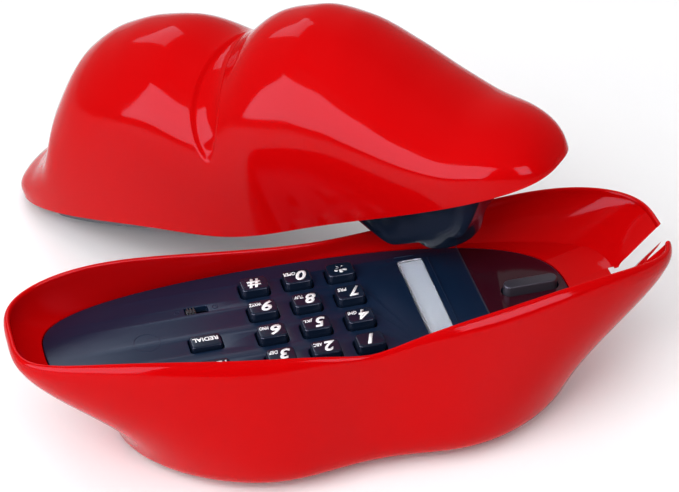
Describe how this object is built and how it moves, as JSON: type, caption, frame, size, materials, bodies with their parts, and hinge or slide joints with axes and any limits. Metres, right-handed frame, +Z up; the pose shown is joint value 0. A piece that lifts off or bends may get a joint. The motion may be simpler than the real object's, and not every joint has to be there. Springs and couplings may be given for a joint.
{
  "type": "novelty telephone",
  "caption": "Desk telephone shaped like a pair of lips: the lower lip is a base with a push-button keypad, the upper lip lifts off as the handset.",
  "frame": {"origin": "middle of the whole object's footprint on the desk", "axes": "+X runs along the base towards the end with the cord slot, -Y is the front of the base, +Z is up"},
  "size_m": [0.2164, 0.1946, 0.1068],
  "materials": {
    "red_gloss": "high gloss, clear red",
    "dark_cover": "gloss",
    "panel_satin": "satin",
    "key_dark": "satin gloss",
    "label_card": "matt card",
    "clear_plastic": "clear moulded plastic",
    "socket_plastic": "semi-gloss",
    "rubber": "matt",
    "silicone": "matt",
    "foam": "matt open foam",
    "steel": "plated",
    "aluminium": "satin",
    "board_green": "solder mask"
  },
  "bodies": {
    "base": {"base_shell": "red_gloss", "base_bottom_plate": "dark_cover", "foot_1": "rubber", "foot_2": "rubber", "foot_3": "rubber", "foot_4": "rubber", "bottom_screw_1": "steel", "bottom_screw_2": "steel", "bottom_screw_3": "steel", "bottom_screw_4": "steel", "ballast_plate": "steel", "ringer": "key_dark", "line_jack": "socket_plastic", "cord_jack": "socket_plastic", "main_board": "board_green", "keypad_mat": "silicone", "keypad_panel": "panel_satin", "tone_switch_body": "steel", "label_card": "label_card", "label_window": "clear_plastic", "hook_spring": "steel", "hook_bracket": "steel", "hook_switch": "key_dark"},
    "handset": {"handset_shell": "red_gloss", "handset_cover": "dark_cover", "handset_screw_1": "steel", "handset_screw_2": "steel", "mouthpiece_boot": "rubber", "microphone": "aluminium", "earpiece_gasket": "foam", "earpiece_capsule": "aluminium", "handset_ballast": "steel", "handset_jack": "socket_plastic"},
    "hook_button": {"hook_plunger": "key_dark"},
    "tone_switch": {"tone_switch_knob": "key_dark"},
    "key_3": {"key_3": "key_dark"},
    "key_2": {"key_2": "key_dark"},
    "key_1": {"key_1": "key_dark"},
    "key_6": {"key_6": "key_dark"},
    "key_5": {"key_5": "key_dark"},
    "key_4": {"key_4": "key_dark"},
    "key_9": {"key_9": "key_dark"},
    "key_8": {"key_8": "key_dark"},
    "key_7": {"key_7": "key_dark"},
    "key_hash": {"key_hash": "key_dark"},
    "key_0": {"key_0": "key_dark"},
    "key_star": {"key_star": "key_dark"},
    "key_redial": {"key_redial": "key_dark"},
    "key_flash": {"key_flash": "key_dark"}
  },
  "joints": [
    {"name": "handset_lift", "type": "slide", "parent": "base", "child": "handset", "axis": [0, 0, 1], "range_m": [0, 0.12]},
    {"name": "hook_press", "type": "slide", "parent": "base", "child": "hook_button", "axis": [0, 0, -1], "range_m": [0, 0.003], "stiffness_N_per_m": 120, "springref_m": -0.003, "deforming": ["hook_spring"]},
    {"name": "tone_switch_slide", "type": "slide", "parent": "base", "child": "tone_switch", "axis": [1, 0, 0], "range_m": [0, 0.0036]},
    {"name": "key_3_press", "type": "slide", "parent": "base", "child": "key_3", "axis": [0, 0, -1], "range_m": [0, 0.0012], "stiffness_N_per_m": 300, "springref_m": -0.0008},
    {"name": "key_2_press", "type": "slide", "parent": "base", "child": "key_2", "axis": [0, 0, -1], "range_m": [0, 0.0012], "stiffness_N_per_m": 300, "springref_m": -0.0008},
    {"name": "key_1_press", "type": "slide", "parent": "base", "child": "key_1", "axis": [0, 0, -1], "range_m": [0, 0.0012], "stiffness_N_per_m": 300, "springref_m": -0.0008},
    {"name": "key_6_press", "type": "slide", "parent": "base", "child": "key_6", "axis": [0, 0, -1], "range_m": [0, 0.0012], "stiffness_N_per_m": 300, "springref_m": -0.0008},
    {"name": "key_5_press", "type": "slide", "parent": "base", "child": "key_5", "axis": [0, 0, -1], "range_m": [0, 0.0012], "stiffness_N_per_m": 300, "springref_m": -0.0008},
    {"name": "key_4_press", "type": "slide", "parent": "base", "child": "key_4", "axis": [0, 0, -1], "range_m": [0, 0.0012], "stiffness_N_per_m": 300, "springref_m": -0.0008},
    {"name": "key_9_press", "type": "slide", "parent": "base", "child": "key_9", "axis": [0, 0, -1], "range_m": [0, 0.0012], "stiffness_N_per_m": 300, "springref_m": -0.0008},
    {"name": "key_8_press", "type": "slide", "parent": "base", "child": "key_8", "axis": [0, 0, -1], "range_m": [0, 0.0012], "stiffness_N_per_m": 300, "springref_m": -0.0008},
    {"name": "key_7_press", "type": "slide", "parent": "base", "child": "key_7", "axis": [0, 0, -1], "range_m": [0, 0.0012], "stiffness_N_per_m": 300, "springref_m": -0.0008},
    {"name": "key_hash_press", "type": "slide", "parent": "base", "child": "key_hash", "axis": [0, 0, -1], "range_m": [0, 0.0012], "stiffness_N_per_m": 300, "springref_m": -0.0008},
    {"name": "key_0_press", "type": "slide", "parent": "base", "child": "key_0", "axis": [0, 0, -1], "range_m": [0, 0.0012], "stiffness_N_per_m": 300, "springref_m": -0.0008},
    {"name": "key_star_press", "type": "slide", "parent": "base", "child": "key_star", "axis": [0, 0, -1], "range_m": [0, 0.0012], "stiffness_N_per_m": 300, "springref_m": -0.0008},
    {"name": "key_redial_press", "type": "slide", "parent": "base", "child": "key_redial", "axis": [0, 0, -1], "range_m": [0, 0.0012], "stiffness_N_per_m": 300, "springref_m": -0.0008},
    {"name": "key_flash_press", "type": "slide", "parent": "base", "child": "key_flash", "axis": [0, 0, -1], "range_m": [0, 0.0012], "stiffness_N_per_m": 300, "springref_m": -0.0008}
  ]
}
